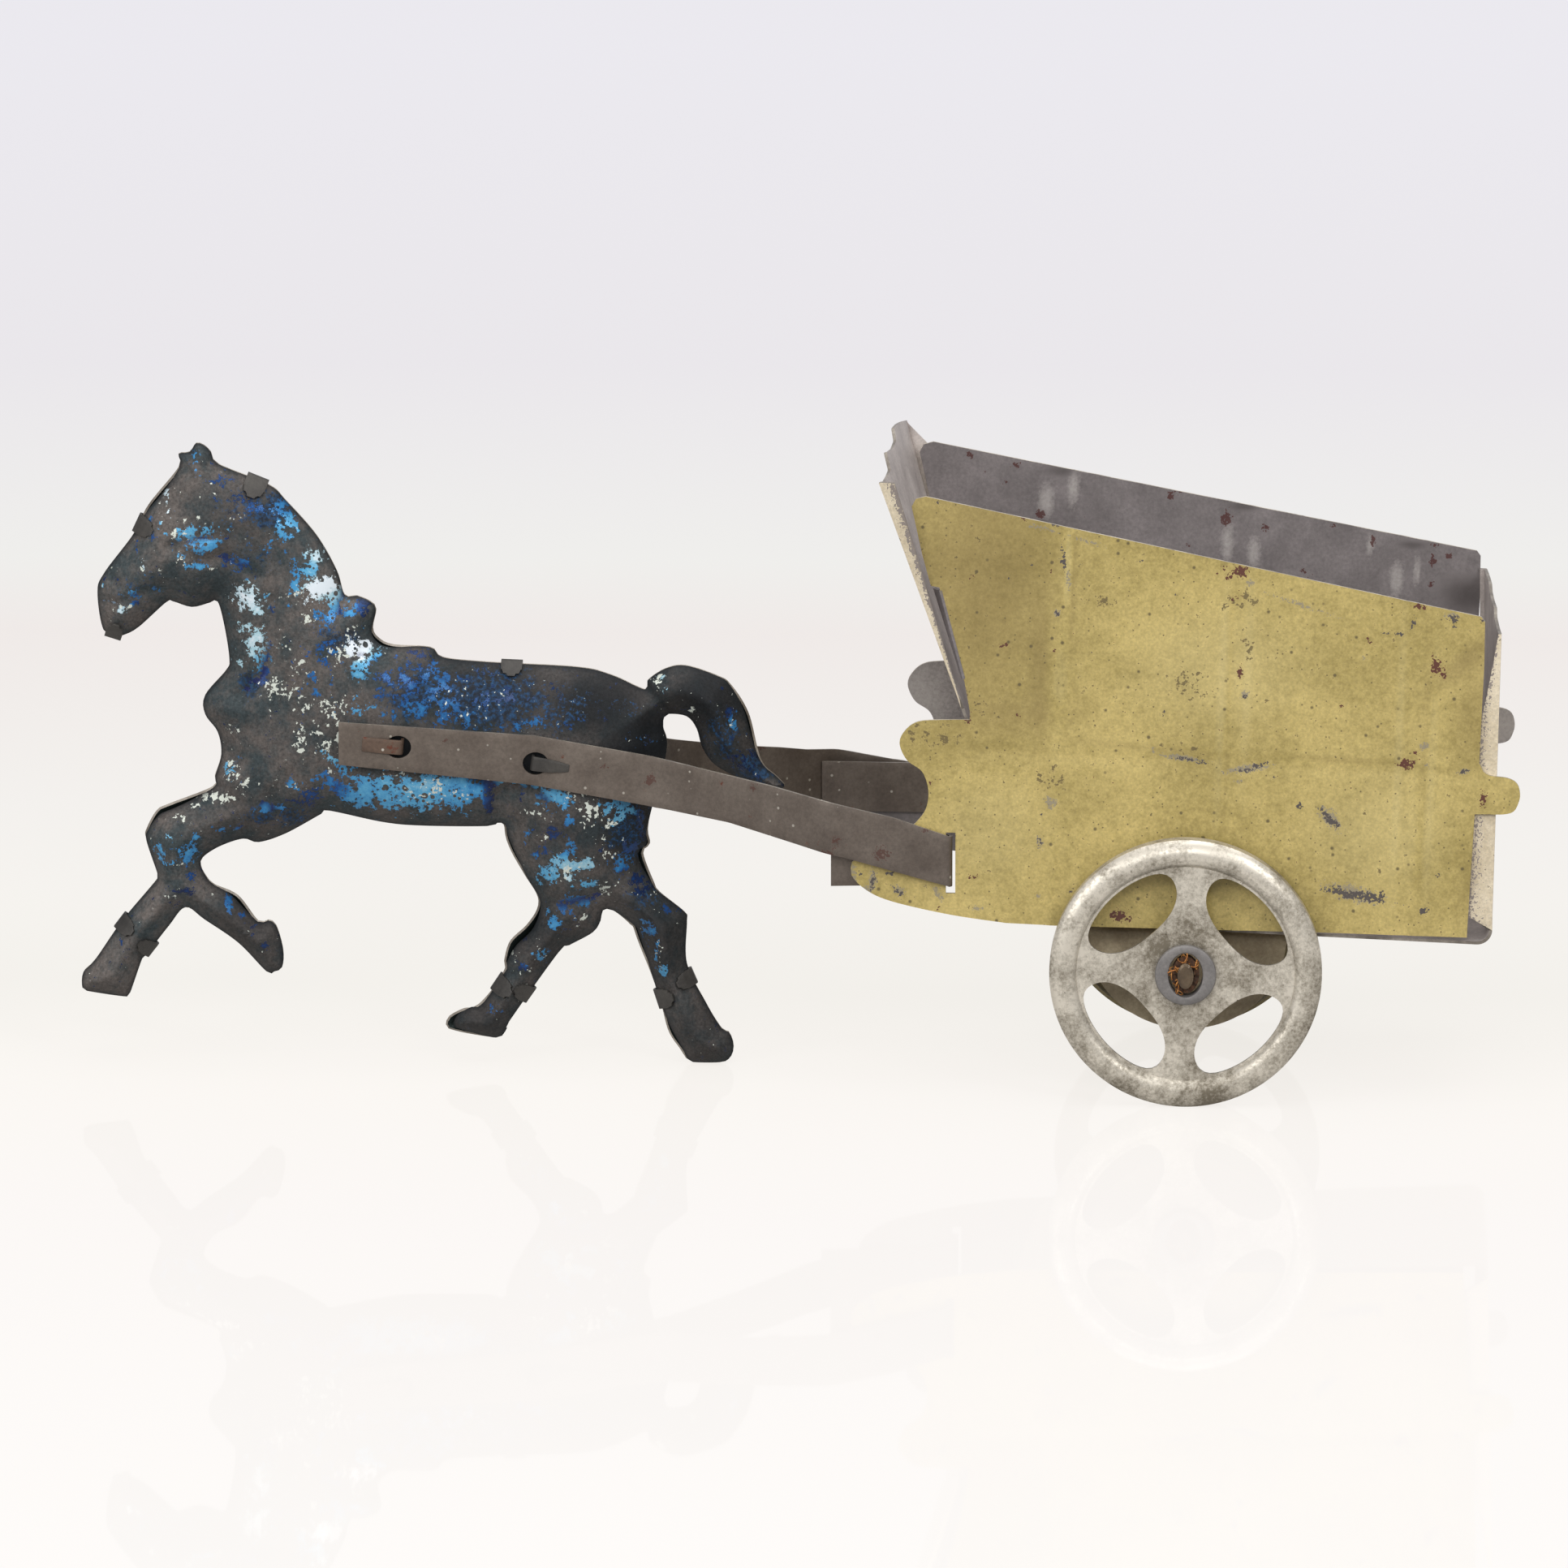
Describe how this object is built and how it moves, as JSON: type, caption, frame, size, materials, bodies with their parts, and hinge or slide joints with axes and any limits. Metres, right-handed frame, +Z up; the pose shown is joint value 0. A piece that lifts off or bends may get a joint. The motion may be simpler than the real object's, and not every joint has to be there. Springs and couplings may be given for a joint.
{
  "type": "horse-drawn cart toy",
  "caption": "Stamped tin penny toy: a trotting horse pressed in halves, its shafts hooked through the slots of a flared tip cart on spoked wheels.",
  "frame": {"origin": "on the floor under the middle of the toy's bounding box", "axes": "-X the way the horse faces, +X towards the tail board, +Y the horse's right side, +Z up; the axle is at X = 34.7 mm, Z = 12 mm"},
  "size_m": [0.128, 0.0368, 0.0566],
  "materials": {
    "blue_lacquered_tin": "worn metallic lacquer",
    "bare_brown_tin": "oxidised",
    "yellow_painted_tin": "worn satin paint",
    "cream_painted_tin": "worn satin paint",
    "bare_grey_tin": "oxidised",
    "bare_silver_tin": "dull tin plate",
    "brown_fibre": "rust-stained fibre"
  },
  "bodies": {
    "cart": {"cart_side_left": "yellow_painted_tin", "cart_side_right": "yellow_painted_tin", "cart_tub": "cream_painted_tin", "axle_bearer": "bare_grey_tin"},
    "axle": {"axle": "bare_grey_tin"},
    "wheel_left": {"wheel_left": "bare_silver_tin", "hub_collar_left": "bare_grey_tin", "fibre_bush_left": "brown_fibre"},
    "wheel_right": {"wheel_right": "bare_silver_tin", "hub_collar_right": "bare_grey_tin", "fibre_bush_right": "brown_fibre"},
    "horse": {"horse_left_half": "blue_lacquered_tin", "horse_right_half": "blue_lacquered_tin", "shaft_left": "bare_brown_tin", "shaft_right": "bare_brown_tin"}
  },
  "joints": [
    {"name": "axle_turn", "type": "hinge", "parent": "cart", "child": "axle", "pos_m": [0.0347, 0, 0.012], "axis": [0, 1, 0], "continuous": true},
    {"name": "wheel_left_turn", "type": "hinge", "parent": "axle", "child": "wheel_left", "pos_m": [0.0347, 0, 0.012], "axis": [0, 1, 0], "continuous": true},
    {"name": "wheel_right_turn", "type": "hinge", "parent": "axle", "child": "wheel_right", "pos_m": [0.0347, 0, 0.012], "axis": [0, 1, 0], "continuous": true},
    {"name": "shaft_rock", "type": "hinge", "parent": "cart", "child": "horse", "pos_m": [0.01394, 0, 0.02108], "axis": [0, 1, 0], "range_deg": [-4, 4]}
  ]
}
